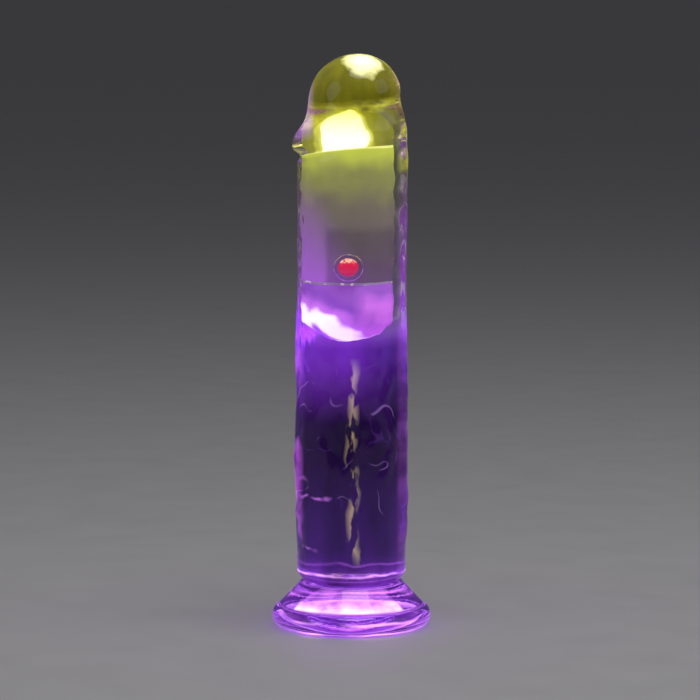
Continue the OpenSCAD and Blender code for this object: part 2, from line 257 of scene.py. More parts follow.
# ---- Button cells, contacts and springs ----
# Three nickel-plated steel cells stand in a stack, pressed up against a brass contact by
# a wire spring on a second one. The switch has a small return spring of the same wire.
nickel_plate = brushed("nickel_plate", (0.66, 0.65, 0.62), 0.22, 700, (1, 1, 9))
dress(nickel_plate, "lower_cell", "middle_cell", "upper_cell")
sprung_brass = brushed("sprung_brass", (0.78, 0.56, 0.22), 0.28, 900, (8, 1, 1))
dress(sprung_brass, "positive_contact", "negative_contact")
spring_wire = brushed("spring_wire", (0.6, 0.6, 0.62), 0.25, 2400, (3, 3, 1))
WIRE_RADIUS = 0.0001
WIRE_SIDES = 10
TURNS = 3
TURN_STEPS = 36


def add_piece(name, mesh, paint, body, smooth=True):
    """Turns a bmesh into a piece that rides on a body."""
    data = bpy.data.meshes.new(name)
    mesh.to_mesh(data)
    mesh.free()
    for face in data.polygons:
        face.use_smooth = smooth
    data.materials.append(paint)
    piece = bpy.data.objects.new(name, data)
    scene.collection.objects.link(piece)
    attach(piece, body)
    return piece


def corners(name):
    """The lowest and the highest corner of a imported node."""
    return [Vector(corner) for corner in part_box(name)]


def coil(start, end, radius, wire, turns):
    """A coil of round wire about the line along Y between two points, with flat ends."""
    form = bmesh.new()
    steps = turns * TURN_STEPS
    bmesh.ops.create_circle(form, cap_ends=False, segments=WIRE_SIDES, radius=wire,
                            matrix=Matrix.Translation((start.x + radius, start.y + wire, start.z)))
    rise_per_step = (end.y - start.y - 2 * wire) / steps
    bmesh.ops.spin(form, geom=[*form.verts, *form.edges], cent=start, axis=(0, 1, 0),
                   dvec=(0, rise_per_step, 0), angle=-math.tau * turns, steps=steps)
    open_ends = [edge for edge in form.edges if edge.is_boundary]
    bmesh.ops.holes_fill(form, edges=open_ends, sides=WIRE_SIDES)
    bmesh.ops.recalc_face_normals(form, faces=form.faces)
    return form


spring_low, spring_high = corners("button_spring")
spring_middle = (spring_low + spring_high) / 2
spring_start = Vector((spring_middle.x, spring_low.y, spring_middle.z))
spring_end = Vector((spring_middle.x, spring_high.y, spring_middle.z))
coil_radius = (spring_high.x - spring_low.x) / 2 - WIRE_RADIUS
mesh = coil(spring_start, spring_end, coil_radius, WIRE_RADIUS, TURNS)
return_spring = add_piece("return_spring", mesh, spring_wire, "body")
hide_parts("button_spring")
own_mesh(return_spring)
dress(spring_wire, "negative_spring")


# ---- Lights and reflectors ----
# Three square light chips at each end, yellow-green above and violet below, sit in a
# glossy white cup. A small red one lights the button from behind.
UPPER_LIGHT = (0.95, 1.0, 0.25)
LOWER_LIGHT = (0.72, 0.22, 1.0)
BUTTON_LIGHT = (1.0, 0.05, 0.04)


def lit_chip(name, colour, strength):
    """A light chip, a little dimmer in grains of its phosphor."""
    made, tree, shader = new_material(name, colour, 0.3, Emission_Strength=strength)
    glow = ramp(tree, noise_value(tree, 1500), [(0.3, tuple(c * 0.7 for c in colour)), (0.7, colour)])
    tree.links.new(glow, shader.inputs["Emission Color"])
    tree.links.new(glow, shader.inputs["Base Color"])
    return made


dress(lit_chip("upper_phosphor", UPPER_LIGHT, 12), "upper_leds")
dress(lit_chip("lower_phosphor", LOWER_LIGHT, 12), "lower_leds")
dress(lit_chip("red_phosphor", BUTTON_LIGHT, 6), "indicator_led")
reflector_white = grained("reflector_white", (0.82, 0.82, 0.83), 0.15, 1400, 0.00001, lift=1.05)
dress(reflector_white, "upper_reflector", "lower_reflector")


# ---- Capsule: frosted tube and seals ----
# A moulded tube with a frosted surface. Its glow is painted light, yellow above and violet below,
# as the lights at its ends would wash it, and the board and cells show as painted shade, soft darker shapes.
tube_low, tube_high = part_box("capsule_tube")
TUBE_MIDDLE = ((tube_low[0] + tube_high[0]) / 2, (tube_low[1] + tube_high[1]) / 2)
TUBE_RADIUS = (tube_high[0] - tube_low[0]) / 2
# What is cast in has almost no gloss, as the clear body wets it
CAST_IN_GLOSS = 0.08
# Painted shade of the board and cells inside lies on the tube, from here towards +X and below this height
SHADE_LEFT = TUBE_MIDDLE[0] - 0.0068
SHADE_TOP = 0.1435
TUBE_GREY = (0.12, 0.11, 0.11)
TUBE_PAINTED_GLOW = [(0.0, (0.12, 0.06, 0.14)), (0.25, (0.095, 0.072, 0.075)), (0.55, (0.11, 0.095, 0.07)),
             (0.76, (0.19, 0.20, 0.050)), (1.0, (0.50, 0.56, 0.045))]
TUBE_PAINTED_VIOLET = [(0.42, (0, 0, 0)), (1.0, (0.22, 0.025, 0.46))]
TUBE_PAINTED_SHADE = (0.62, 0.60, 0.64)
# Painted glow of the seals, in grains, and yellow on the upper one
SEAL_PAINTED_GLOW = [(0.52, (0.10, 0.05, 0.15)), (0.66, (0.65, 0.50, 0.60))]
SEAL_PAINTED_YELLOW = (0.75, 0.78, 0.12)


def axis_value(tree, direction, start, end):
    """How far a point lies from start to end along a direction, from 0 to 1."""
    along = add_node(tree, "ShaderNodeVectorMath", {}, operation="DOT_PRODUCT")
    along.inputs[1].default_value = direction
    tree.links.new(object_point(tree), along.inputs[0])
    return rescale(tree, along.outputs["Value"], start, end)


def add_values(tree, first, second, operation="ADD"):
    made = add_node(tree, "ShaderNodeMath", operation=operation)
    for place, value in enumerate((first, second)):
        if isinstance(value, (int, float)):
            made.inputs[place].default_value = value
        else:
            tree.links.new(value, made.inputs[place])
    return made.outputs["Value"]


def tint(tree, first, second, blend_type, factor=1.0):
    """Two colours put together, with the factor a number or a socket."""
    made = add_node(tree, "ShaderNodeMix", data_type="RGBA", blend_type=blend_type)
    for place, value in ((0, factor), (6, first), (7, second)):
        if isinstance(value, (int, float)):
            made.inputs[place].default_value = value
        elif isinstance(value, tuple):
            made.inputs[place].default_value = (*value, 1)
        else:
            tree.links.new(value, made.inputs[place])
    return made.outputs[2]


def rise(tree, direction, place, width):
    """A value that climbs from 0 to 1 along a direction, about a place, over a width."""
    return axis_value(tree, direction, place - width / 2, place + width / 2)


frosted, tree, shader = new_material("frosted_tube_painted_glow", TUBE_GREY, 0.5, Emission_Strength=1.0,
                                     Specular_IOR_Level=CAST_IN_GLOSS)
# Painted light: a yellow glow above and a violet one towards -X below, with painted shade where the board
# and cells stand
height = add_values(tree, axis_value(tree, (0, 0, 1), tube_low[2], tube_high[2]),
                    rescale(tree, noise_value(tree, 60, 2), 0.3, 0.7, -0.07, 0.07))
tube_glow = ramp(tree, height, TUBE_PAINTED_GLOW)
left = axis_value(tree, (-0.9, 0, -0.45), -0.45 * tube_high[2], TUBE_RADIUS - 0.45 * tube_low[2])
tube_violet_glow = ramp(tree, left, TUBE_PAINTED_VIOLET)
painted_shade_mask = add_values(tree, rise(tree, (1, 0, 0), SHADE_LEFT, 0.0015),
                   rise(tree, (0, 0, -1), -SHADE_TOP, 0.003), "MULTIPLY")
lit = tint(tree, tint(tree, tube_glow, tube_violet_glow, "ADD"), TUBE_PAINTED_SHADE, "MULTIPLY", painted_shade_mask)
tree.links.new(lit, shader.inputs["Emission Color"])
roughen(tree, shader, 500, 0.4, 0.6)
bump(tree, shader, noise_value(tree, 1800), 0.00002)
dress(frosted, "capsule_tube")

seal_paint, tree, shader = new_material("silicone_painted_glow", (0.5, 0.48, 0.5), 0.5, Emission_Strength=1.0,
                                        Specular_IOR_Level=CAST_IN_GLOSS)
# Painted light: a grainy glow on both seals, yellow on the upper one
seal_glow_grains = ramp(tree, noise_value(tree, 420, 1), SEAL_PAINTED_GLOW)
upper_end = rise(tree, (0, 0, 1), (tube_low[2] + tube_high[2]) / 2, 0.01)
tree.links.new(tint(tree, seal_glow_grains, SEAL_PAINTED_YELLOW, "MIX", upper_end), shader.inputs["Emission Color"])
roughen(tree, shader, 400, 0.4, 0.6)
dress(seal_paint, "upper_seal", "lower_seal")


# ---- Capsule: lenses ----
# Clear moulded end caps with a domed end and a bored-out socket. Their glow is painted light:
# the upper one a bright patch front and back, and the lower one a slanting band.
LENS_DOME = 0.007
LENS_WALL = 0.0012
LENS_SOCKET = 0.0016
LENS_SEAL = 0.0008
LENS_BORE = 0.00865
LENS_STEPS = 96
UPPER_LENS_LIGHT = [(0.0, (0.10, 0.10, 0.005)), (0.50, (0.19, 0.19, 0.008)), (0.70, (0.75, 0.76, 0.10)),
                    (0.77, (1.3, 1.3, 1.05)), (1.0, (1.4, 1.4, 1.3))]
LOWER_LENS_LIGHT = [(0.0, (0.25, 0.05, 0.55)), (0.34, (0.36, 0.08, 0.7)), (0.43, (1.25, 1.2, 1.25)),
                    (0.58, (1.2, 1.05, 1.2)), (0.68, (0.50, 0.13, 0.70)), (0.85, (0.13, 0.02, 0.34)),
                    (1.0, (0.17, 0.04, 0.34))]
LOWER_LENS_PAINTED_PINK = (0.52, 0.12, 0.62)
BRIGHT_SLANT = Vector((0.50, 0, 0.866))
BRIGHT_HEIGHT = 0.0052


def smooth_step(value, low, high):
    part = min(1, max(0, (value - low) / (high - low)))
    return part * part * (3 - 2 * part)


def hump(value, middle, width, power=2):
    """A rounded rise of 1, about twice its width across. A higher power flattens its top."""
    return math.exp(-abs((value - middle) / width) ** power)


def turned(outline, steps, centre=(0, 0)):
    """A form turned about an upright axis from (radius, height) points."""
    form = bmesh.new()
    points = [form.verts.new((centre[0] + radius, centre[1], z)) for radius, z in outline]
    edges = [form.edges.new(pair) for pair in zip(points, points[1:])]
    bmesh.ops.spin(form, geom=points + edges, cent=(*centre, 0), axis=(0, 0, 1),
                   angle=math.tau, steps=steps, use_merge=True)
    bmesh.ops.remove_doubles(form, verts=form.verts, dist=1e-7)
    bmesh.ops.recalc_face_normals(form, faces=form.faces)
    return form


def span(low, high, step):
    """Evenly spaced values from low to high, about a step apart."""
    count = max(1, round((high - low) / step))
    return [low + (high - low) * part / count for part in range(count + 1)]


def arc_points(centre, radius, turns):
    """(radius, height) points on a circle, at angles in degrees from its top."""
    return [(centre[0] + radius * math.sin(math.radians(turn)),
             centre[1] + radius * math.cos(math.radians(turn))) for turn in turns]


def lens_outline(height):
    """Half of a lens's section, with its dome upwards and the seal's face at z = 0."""
    dome_radius = (TUBE_RADIUS ** 2 + LENS_DOME ** 2) / (2 * LENS_DOME)
    middle = height - dome_radius
    bore_radius = dome_radius - LENS_WALL
    widest = math.degrees(math.asin(TUBE_RADIUS / dome_radius))
    bore_widest = math.degrees(math.asin(LENS_BORE / bore_radius))
    outer = arc_points((0, middle), dome_radius, span(0, widest, 2))
    inner = arc_points((0, middle), bore_radius, reversed(span(0, bore_widest, 3)))
    socket = TUBE_RADIUS - LENS_WALL - 0.00005
    return outer + [(TUBE_RADIUS, 0), (socket, 0), (socket, -LENS_SOCKET - LENS_SEAL),
                    (LENS_BORE, -LENS_SOCKET - LENS_SEAL)] + inner


def lobes(tree, count, wobble):
    """From 0 to 1, with a number of bright lobes round the upright axis, one facing -Y."""
    around = add_node(tree, "ShaderNodeTexGradient", gradient_type="RADIAL")
    tree.links.new(object_point(tree), around.inputs["Vector"])
    turn = add_values(tree, around.outputs["Fac"], math.tau * count, "MULTIPLY")
    turn = add_values(tree, turn, -math.pi / 2 * count)
    turn = add_values(tree, turn, rescale(tree, noise_value(tree, 90, 2), 0.3, 0.7, -wobble, wobble))
    wave = add_node(tree, "ShaderNodeMath", operation="COSINE")
    tree.links.new(turn, wave.inputs[0])
    return rescale(tree, wave.outputs["Value"], -1, 1)


lens_low, lens_high = corners("upper_lens")
upper_paint, tree, shader = new_material("upper_lens_glow", (0.3, 0.31, 0.1), 0.3, Emission_Strength=1.0,
                                         Specular_IOR_Level=CAST_IN_GLOSS)
lens_height = axis_value(tree, (0, 0, 1), tube_high[2], lens_high.z)
lobe = add_values(tree, lobes(tree, 2, 0.6), rescale(tree, lens_height, 0, 1, 0.16, -0.12))
leftward = axis_value(tree, (-1, 0, 0), -lens_high.x, -lens_low.x)
lobe = add_values(tree, lobe, rescale(tree, leftward, 0, 1, -0.16, 0.18))
tree.links.new(ramp(tree, lobe, UPPER_LENS_LIGHT), shader.inputs["Emission Color"])
roughen(tree, shader, 400, 0.25, 0.45)
mesh = turned(lens_outline(lens_high.z - tube_high[2] - LENS_SEAL), LENS_STEPS)
bmesh.ops.translate(mesh, verts=mesh.verts, vec=(*TUBE_MIDDLE, tube_high[2] + LENS_SEAL))
upper_lens = add_piece("upper_lens_glow", mesh, upper_paint, "body")
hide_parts("upper_lens")

lens_low, lens_high = corners("lower_lens")
lower_paint, tree, shader = new_material("lower_lens_glow", (0.35, 0.15, 0.5), 0.3, Emission_Strength=1.0,
                                         Specular_IOR_Level=CAST_IN_GLOSS)
band_at = BRIGHT_SLANT.dot(Vector((TUBE_MIDDLE[0] - 0.45 * TUBE_RADIUS, 0, lens_low.z + BRIGHT_HEIGHT)))
off_band = add_values(tree, axis_value(tree, BRIGHT_SLANT, band_at - 0.012, band_at + 0.012),
                      rescale(tree, noise_value(tree, 130, 2), 0.3, 0.7, -0.07, 0.07))
slope = ramp(tree, off_band, LOWER_LENS_LIGHT)
# A painted pink glow on the lower lens's +X side, stronger further down
depth = add_values(tree, axis_value(tree, (0, 0, -1), 0.0035 - tube_low[2], 0.0085 - tube_low[2]),
                   rescale(tree, noise_value(tree, 160, 2), 0.3, 0.7, -0.4, 0.4))
right = add_values(tree, rise(tree, (1, 0, 0), TUBE_MIDDLE[0] + 0.0035, 0.005), depth, "MULTIPLY")
tree.links.new(tint(tree, slope, LOWER_LENS_PAINTED_PINK, "MIX", add_values(tree, right, 0.85, "MULTIPLY")),
               shader.inputs["Emission Color"])
roughen(tree, shader, 400, 0.25, 0.45)
mesh = turned(lens_outline(tube_low[2] - LENS_SEAL - lens_low.z), LENS_STEPS)
for vert in mesh.verts:
    vert.co.z = tube_low[2] - LENS_SEAL - vert.co.z
bmesh.ops.reverse_faces(mesh, faces=mesh.faces)
bmesh.ops.translate(mesh, verts=mesh.verts, vec=(*TUBE_MIDDLE, 0))
lower_lens = add_piece("lower_lens_glow", mesh, lower_paint, "body")
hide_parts("lower_lens")


# ---- Button and its collar ----
# A faceted translucent red cap, painted with a red glow as if lit from behind, slides in a clear
# moulded ring welded to the tube. Its rim is cut in flats, which catch the light one by one.
CAP_SIDES = 18
CAP_BEVEL = 0.0007
CAP_INSET = 0.0005
CAP_BOW = 0.00035
CAP_RADIUS = 0.00305
FLANGE_THICK = 0.0005
CAP_LIGHT = [(0.0, (0.38, 0.0, 0.06)), (0.45, (0.52, 0.0, 0.03)), (1.0, (0.72, 0.02, 0.02))]
CAP_PAINTED_GLINT = (1.0, 0.72, 0.42)
cap_low, cap_high = corners("power_button")
collar_low, collar_high = corners("button_collar")
cap_middle = (cap_low + cap_high) / 2
FLANGE_RADIUS = cap_high.x - cap_middle.x
UP_TO_FRONT = Matrix.Rotation(math.radians(90), 3, "X")

red_cap, tree, shader = new_material("red_button", (0.5, 0.01, 0.02), 0.18, Emission_Strength=1.0,
                                     Coat_Weight=0.6, Coat_Roughness=0.05)
# Painted light: a red glow up the cap, and painted cream highlights along its top edge
cap_glow = ramp(tree, add_values(tree, axis_value(tree, (0, 0, 1), cap_low.z, cap_high.z),
                                 rescale(tree, noise_value(tree, 700), 0.3, 0.7, -0.1, 0.1)), CAP_LIGHT)
painted_glints = add_values(tree, rise(tree, (0, 0, 1), cap_middle.z + 0.0017, 0.0005),
                   rescale(tree, noise_value(tree, 1100), 0.42, 0.54), "MULTIPLY")
tree.links.new(tint(tree, cap_glow, CAP_PAINTED_GLINT, "MIX", painted_glints), shader.inputs["Emission Color"])
bump(tree, shader, noise_value(tree, 900), 0.00003)

mesh = bmesh.new()
cap_length = cap_high.y - FLANGE_THICK - cap_low.y
bmesh.ops.create_cone(mesh, cap_ends=True, segments=CAP_SIDES, radius1=CAP_RADIUS, radius2=CAP_RADIUS,
                      depth=cap_length, matrix=Matrix.Translation((0, 0, cap_length / 2)))
front = [face for face in mesh.faces if face.normal.z > 0.9]
bmesh.ops.bevel(mesh, geom=list(front[0].edges), offset=CAP_BEVEL, offset_type="OFFSET", segments=2,
                affect="EDGES", profile=0.5, material=-1)
front = [face for face in mesh.faces if face.normal.z > 0.99]
bmesh.ops.inset_individual(mesh, faces=front, thickness=CAP_INSET, depth=CAP_BOW)
front = [face for face in mesh.faces if face.normal.z > 0.99]
bmesh.ops.poke(mesh, faces=front, offset=CAP_BOW, center_mode="MEAN")
bmesh.ops.create_cone(mesh, cap_ends=True, segments=48, radius1=FLANGE_RADIUS, radius2=FLANGE_RADIUS,
                      depth=FLANGE_THICK, matrix=Matrix.Translation((0, 0, -FLANGE_THICK / 2)))
bmesh.ops.rotate(mesh, verts=mesh.verts, cent=(0, 0, 0), matrix=UP_TO_FRONT)
bmesh.ops.translate(mesh, verts=mesh.verts, vec=(cap_middle.x, cap_high.y - FLANGE_THICK, cap_middle.z))
cap_top = min(vert.co.y for vert in mesh.verts)
for vert in mesh.verts:
    if vert.co.y < cap_high.y - 2 * FLANGE_THICK:
        vert.co.y += cap_low.y - cap_top
button_cap = add_piece("button_cap", mesh, red_cap, "button", smooth=False)
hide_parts("power_button")

clear_plastic, tree, shader = new_material("clear_collar", (0.97, 0.93, 0.97), 0.05,
                                           Transmission_Weight=1.0, IOR=1.49)
roughen(tree, shader, 300, 0.02, 0.09)
dress(clear_plastic, "button_collar")


# ---- Clear body ----
# One casting of clear elastomer, poured round the capsule so that there is no gap between
# them. Its skin is uneven: soft ridges run down it, with a raised band on its +X side, and
# a slanting collar marks the crown. A round hollow in front of the button lets it travel.
body_low, body_high = corners("clear_body")
BODY_RADIUS = 0.0193
SWELL = 0.0008
SWELL_HEIGHT = 0.055
SWELL_LENGTH = 0.026
BOTTOM_ROUND = 0.0045
DOME_HEIGHT = 0.0155
CROWN_SIDE_LOW = 0.0179
CROWN_SIDE_HIGH = 0.0163
COLLAR_HEIGHT = 0.1777
COLLAR_SLANT = math.tan(math.radians(11))
CROWN_LEAN = math.tan(math.radians(4.8))
AROUND = 160
RING_STEP = 0.0009
JOINT_GAP = 0.00004
RELIEF_FROM = body_low.z + 0.006
RELIEF_TO = 0.160
HOLLOW_ROUND = 0.0008

# Painted light: the casting's tint in the colours of its own lamps, and its painted faint glow, from its
# foot to its crown
BODY_PAINTED_TINTS = [(0.0, (0.09, 0.025, 0.24)), (0.06, (0.045, 0.013, 0.13)), (0.32, (0.026, 0.007, 0.08)),
              (0.40, (0.034, 0.010, 0.11)), (0.45, (0.08, 0.025, 0.24)), (0.475, (0.66, 0.48, 0.92)),
              (0.52, (0.90, 0.85, 0.96)), (0.62, (0.93, 0.90, 0.93)), (0.82, (0.93, 0.93, 0.80)),
              (0.90, (0.32, 0.30, 0.045)), (1.0, (0.44, 0.42, 0.11))]
BODY_LIGHT = [(0.0, (0.10, 0.016, 0.24)), (0.06, (0.016, 0.003, 0.05)), (0.26, (0.005, 0.0006, 0.014)),
              (0.36, (0.008, 0.0012, 0.026)), (0.45, (0.024, 0.004, 0.08)), (0.60, (0.010, 0.003, 0.018)),
              (0.80, (0.010, 0.011, 0.001)), (0.90, (0.060, 0.056, 0.001)), (1.0, (0.10, 0.094, 0.003))]
# Heights between which the lower lens's painted glow lies on the body, and painted fine bright lines show
GLOW_FROM = 0.085
GLOW_TO = 0.108
LINES_FROM = 0.027
LINES_TO = 0.096
YELLOW_HEIGHT = 0.170
# The height of each painted bright fold line, and how far out towards -X it starts
PAINTED_FOLD_LINES = ((0.0548, 0.0165), (0.0487, 0.0080), (0.0300, 0.0130))
UNDER_LENS_PAINTED_GLOW = (0.085, 0.012, 0.22)
BOTTOM_PAINTED_GLOW = (0.95, 0.42, 1.0)
FRONT_PAINTED_HIGHLIGHT = (0.30, 0.225, 0.10)
LEFT_PAINTED_GLOW = (0.27, 0.05, 0.38)
RIGHT_PAINTED_GLOW = (0.09, 0.02, 0.15)
THREAD_PAINTED_HIGHLIGHT = (0.15, 0.08, 0.24)
FOLD_PAINTED_GLOW = (0.40, 0.12, 0.58)
CROWN_PAINTED_GLOW = (0.30, 0.10, 0.55)
EDGE_PAINTED_YELLOW = (0.24, 0.24, 0.01)
PAINTED_HIGHLIGHT_PLACE = (0.0040, -0.0075, body_high.z - 0.0035)
PATCH_PAINTED_HIGHLIGHT = (2.4, 2.3, 1.1)
COLLAR_PAINTED_STREAKS = (0.34, 0.32, 0.015)


def body_radius(z):
    """Radius of the plain outline at a height, with no collar or ridges."""
    straight = BODY_RADIUS + SWELL * hump(z, SWELL_HEIGHT, SWELL_LENGTH)
    dome_start = body_high.z - DOME_HEIGHT
    side = CROWN_SIDE_LOW + (CROWN_SIDE_HIGH - CROWN_SIDE_LOW) * smooth_step(z, COLLAR_HEIGHT, dome_start)
    radius = straight + (side - straight) * smooth_step(z, COLLAR_HEIGHT - 0.006, COLLAR_HEIGHT + 0.005)
    if z > dome_start:
        radius *= math.sqrt(max(0, 1 - ((z - dome_start) / DOME_HEIGHT) ** 2))
    return radius


def ridge(angle, z, path, low, high, height, width):
    """A soft ridge that follows a path of angles, in degrees, from low to high."""
    part = (z - low) / (high - low) * (len(path) - 1)
    if not 0 <= part <= len(path) - 1:
        return 0
    place = min(int(part), len(path) - 2)
    middle = path[place] + (path[place + 1] - path[place]) * smooth_step(part - place, 0, 1)
    off = (angle - middle + 180) % 360 - 180
    ends = smooth_step(part, 0, 0.5) * smooth_step(len(path) - 1 - part, 0, 0.5)
    return height * ends * hump(off, 0, width)


# Angles run from the front, which is 0, round towards +X
RIDGES = [
    dict(path=(74, 70, 78, 72, 80, 73), low=0.024, high=0.185, height=0.0009, width=11),
    dict(path=(2, 8, -4, 6, 0, 9), low=0.024, high=0.100, height=0.0007, width=6),
    dict(path=(-80, -68, -76, -86), low=0.038, high=0.066, height=0.0006, width=9),
    dict(path=(-88, -76, -90, -80), low=0.060, high=0.118, height=0.0005, width=9),
    dict(path=(32, 44, 36, 50), low=0.050, high=0.096, height=0.0005, width=6),
    dict(path=(-34, -24, -38, -30), low=0.044, high=0.088, height=0.0004, width=7),
    dict(path=(128, 140, 120, 134, 126), low=0.026, high=0.165, height=0.0007, width=9),
    dict(path=(186, 176, 190, 178, 188), low=0.026, high=0.172, height=0.0008, width=8),
    dict(path=(236, 250, 232, 246, 238), low=0.026, high=0.160, height=0.0006, width=9),
]


def skin_rise(angle, z):
    """How far the uneven skin stands out of the plain outline."""
    calm = smooth_step(z, RELIEF_FROM, RELIEF_FROM + 0.006)
    calm *= 1 - smooth_step(z, RELIEF_TO, RELIEF_TO + 0.012)
    turn = math.radians(angle)
    at = Vector((math.sin(turn), -math.cos(turn), 0)) * 2.2 + Vector((0, 0, z * 70))
    waves = 0.00030 * noise.noise(at) + 0.00016 * noise.noise(at * 2.7 + Vector((9, 0, 0)))
    knots = 1 + 0.45 * noise.noise(Vector((angle / 25, z * 160, 4)))
    return calm * waves + knots * sum(ridge(angle, z, **each) for each in RIDGES)


def shape_skin(vert):
    """Moves a vertex of the plain turned form to its place on the uneven, leaning skin."""
    z = vert.co.z
    radius = math.hypot(vert.co.x, vert.co.y)
    if radius > 1e-6 and z > body_low.z + BOTTOM_ROUND:
        towards = Vector((vert.co.x / radius, vert.co.y / radius, 0))
        angle = math.degrees(math.atan2(towards.x, -towards.y))
        left = (1 - towards.x) / 2
        lobe = (0.0005 + 0.0020 * left) * hump(z, COLLAR_HEIGHT + 0.0005, 0.0046, 3)
        groove = 0.0015 * left * hump(z, COLLAR_HEIGHT - 0.0052, 0.0017)
        vert.co += towards * (lobe - groove + skin_rise(angle, z))
    slanted = smooth_step(z, COLLAR_HEIGHT - 0.022, COLLAR_HEIGHT - 0.004) \
        * (1 - smooth_step(z, COLLAR_HEIGHT + 0.003, body_high.z - 0.006))
    vert.co.z += COLLAR_SLANT * vert.co.x * slanted
    vert.co.x += CROWN_LEAN * max(0, z - COLLAR_HEIGHT)


underside = body_low.z + JOINT_GAP
straight_from = underside + BOTTOM_ROUND
edge_radius = body_radius(straight_from) - BOTTOM_ROUND
outline = [(radius, underside) for radius in span(0, edge_radius, 0.0015)]
outline += arc_points((edge_radius, straight_from), BOTTOM_ROUND, range(170, 90, -10))
outline += [(body_radius(z), z) for z in span(straight_from, body_high.z - DOME_HEIGHT, RING_STEP)]
outline += [(CROWN_SIDE_HIGH * math.cos(math.radians(turn)),
             body_high.z - DOME_HEIGHT * (1 - math.sin(math.radians(turn)))) for turn in range(4, 90, 4)]
outline.append((0, body_high.z))
mesh = turned(outline, AROUND)
for vert in mesh.verts:
    shape_skin(vert)

# The hollow in front of the button is a closed bubble inside the casting
HOLLOW_RADIUS = (collar_high.x - collar_low.x) / 2 + 0.0001
HOLLOW_FRONT = cap_low.y - 0.0003
HOLLOW_BACK = TUBE_MIDDLE[1] - TUBE_RADIUS + 0.0008
hollow = bmesh.new()
hollow_length = HOLLOW_BACK - HOLLOW_FRONT
bmesh.ops.create_cone(hollow, cap_ends=True, segments=64, radius1=HOLLOW_RADIUS, radius2=HOLLOW_RADIUS,
                      depth=hollow_length)
front = [face for face in hollow.faces if face.normal.z > 0.9]
bmesh.ops.bevel(hollow, geom=list(front[0].edges), offset=HOLLOW_ROUND, offset_type="OFFSET", segments=4,
                affect="EDGES", profile=0.5, material=-1)
bmesh.ops.rotate(hollow, verts=hollow.verts, cent=(0, 0, 0), matrix=UP_TO_FRONT)
bmesh.ops.translate(hollow, verts=hollow.verts,
                    vec=(cap_middle.x, HOLLOW_FRONT + hollow_length / 2, cap_middle.z))
bmesh.ops.reverse_faces(hollow, faces=hollow.faces)
hollow_data = bpy.data.meshes.new("hollow")
hollow.to_mesh(hollow_data)
hollow.free()
mesh.from_mesh(hollow_data)


def clear_cast(name):
    """Clear elastomer that lets the lamps through, before its painted light tint and glow are added."""
    made, tree, shader = new_material(name, (0.95, 0.93, 0.98), 0.03, Transmission_Weight=1.0,
                                      IOR=1.42, Emission_Strength=1.0)
    roughen(tree, shader, 260, 0.0, 0.05)
    bump(tree, shader, noise_value(tree, 420, 2), 0.00003)
    output = tree.nodes["Material Output"]
    through = add_node(tree, "ShaderNodeBsdfTransparent", {"Color": (0.86, 0.82, 0.92, 1)})
    rays = add_node(tree, "ShaderNodeLightPath")
    choice = add_node(tree, "ShaderNodeMixShader")
    tree.links.new(rays.outputs["Is Shadow Ray"], choice.inputs["Fac"])
    tree.links.new(shader.outputs["BSDF"], choice.inputs[1])
    tree.links.new(through.outputs["BSDF"], choice.inputs[2])
    tree.links.new(choice.outputs["Shader"], output.inputs["Surface"])
    return made, tree, shader


def product(tree, first, *others):
    """Several values multiplied together."""
    for other in others:
        first = add_values(tree, first, other, "MULTIPLY")
    return first


def near(tree, value, middle, reach):
    """1 where a value is at its middle, falling to 0 at a reach to either side."""
    off = add_values(tree, add_values(tree, value, -middle), 0, "ABSOLUTE")
    return rescale(tree, off, 0, reach, 1, 0)


def along(tree, direction):
    """The distance of a point along a direction, in metres."""
    made = add_node(tree, "ShaderNodeVectorMath", operation="DOT_PRODUCT")
    made.inputs[1].default_value = direction
    tree.links.new(object_point(tree), made.inputs[0])
    return made.outputs["Value"]


def wavy(tree, value, scale, reach, stretch=(1, 1, 1)):
    """A value with noise added, up to a reach to either side."""
    waves = rescale(tree, noise_value(tree, scale, 2, stretch), 0.3, 0.7, -reach, reach)
    return add_values(tree, value, waves)


def patches(tree, scale, low, high, stretch=(1, 1, 1)):
    """Patches of 1 in a field of 0, with soft edges between two noise levels."""
    return rescale(tree, noise_value(tree, scale, 2, stretch), low, high)


body_clear, tree, shader = clear_cast("clear_elastomer")
height = axis_value(tree, (0, 0, 1), body_low.z, body_high.z)
# Painted light: the casting's tint, and its faint glow broken into clouds, run violet below, clear in the
# middle and yellow in the crown
tree.links.new(ramp(tree, height, BODY_PAINTED_TINTS), shader.inputs["Base Color"])
light = ramp(tree, height, BODY_LIGHT)
glow_clouds = rescale(tree, noise_value(tree, 110, 3, (1, 1, 0.3)), 0.35, 0.7, 0.4, 1.6)
light = tint(tree, light, glow_clouds, "MULTIPLY")
upright = along(tree, (0, 0, 1))
sideways = along(tree, (1, 0, 0))
facing_front = rise(tree, (0, -1, 0), 0.010, 0.005)
in_shaft = product(tree, rise(tree, (0, 0, 1), LINES_FROM, 0.006), rise(tree, (0, 0, -1), -LINES_TO, 0.006))

# Painted glow of the lower lens on the body under it, more on its -X side
under_lens = product(tree, rise(tree, (0, 0, 1), GLOW_FROM, 0.019), rise(tree, (0, 0, -1), -GLOW_TO, 0.006),
                     rise(tree, (-1, 0, 0), -0.008, 0.018))
light = tint(tree, light, UNDER_LENS_PAINTED_GLOW, "ADD", under_lens)

# A painted bright wavy line where the side turns under, and a broken painted highlight up the front ridge
bottom_glow = product(tree, near(tree, wavy(tree, upright, 90, 0.0005), body_low.z + 0.0042, 0.0007),
                      rescale(tree, noise_value(tree, 120, 2), 0.35, 0.65, 0.25, 1.0))
light = tint(tree, light, BOTTOM_PAINTED_GLOW, "ADD", bottom_glow)
front_highlight = product(tree, near(tree, wavy(tree, sideways, 55, 0.0022, (0.1, 0.1, 1)), 0.0008, 0.0024),
                     patches(tree, 150, 0.48, 0.55, (1.8, 1, 0.7)), facing_front, in_shaft)
light = tint(tree, light, FRONT_PAINTED_HIGHLIGHT, "ADD", front_highlight)
